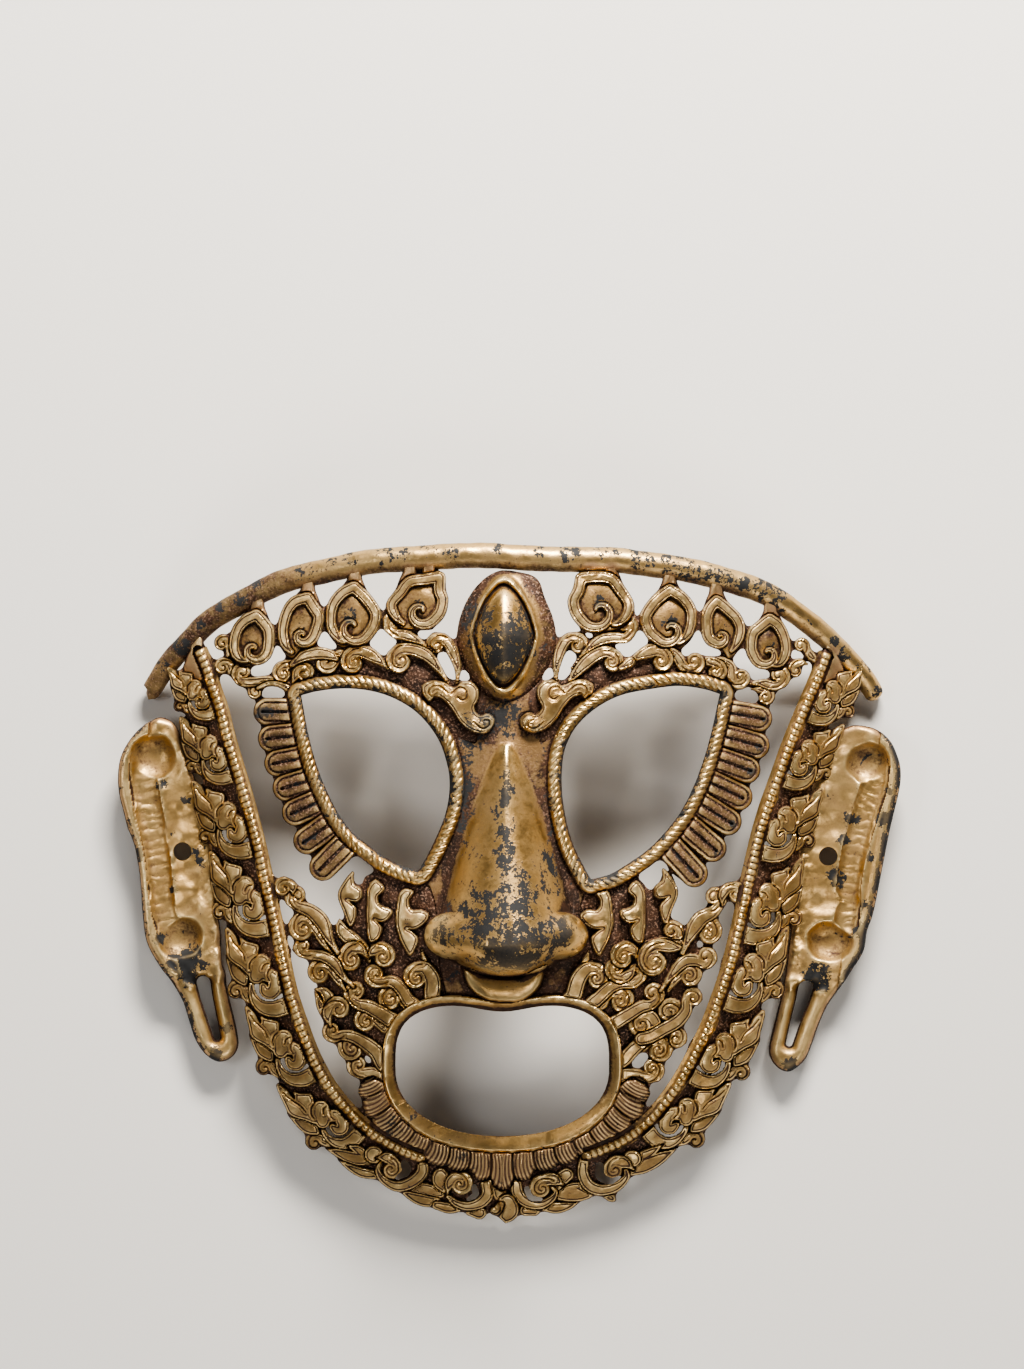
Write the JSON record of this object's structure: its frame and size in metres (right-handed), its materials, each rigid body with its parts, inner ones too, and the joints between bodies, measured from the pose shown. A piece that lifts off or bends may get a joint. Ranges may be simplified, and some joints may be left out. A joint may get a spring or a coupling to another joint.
{
  "type": "openwork dance mask",
  "caption": "Openwork repousse face mask in gilt copper: leaf-shaped eye openings, open mouth, third eye, scroll border, brow rod and slit-lobed ears with tie holes.",
  "frame": {"origin": "under the middle of the mask, on the surface that it lies on", "axes": "+X to the viewer's right across the face, +Y from the chin to the brow, +Z out of the face"},
  "size_m": [0.2438, 0.2112, 0.059],
  "materials": {
    "gilt_face": "worn fire gilding over copper, dark in the recesses",
    "gilt_rod": "worn fire gilding with dark tarnish patches",
    "gilt_ears": "hammered and worn fire gilding"
  },
  "bodies": {
    "root": {"openwork_face": "gilt_face", "brow_rim": "gilt_rod", "left_ear": "gilt_ears", "right_ear": "gilt_ears"}
  },
  "joints": []
}
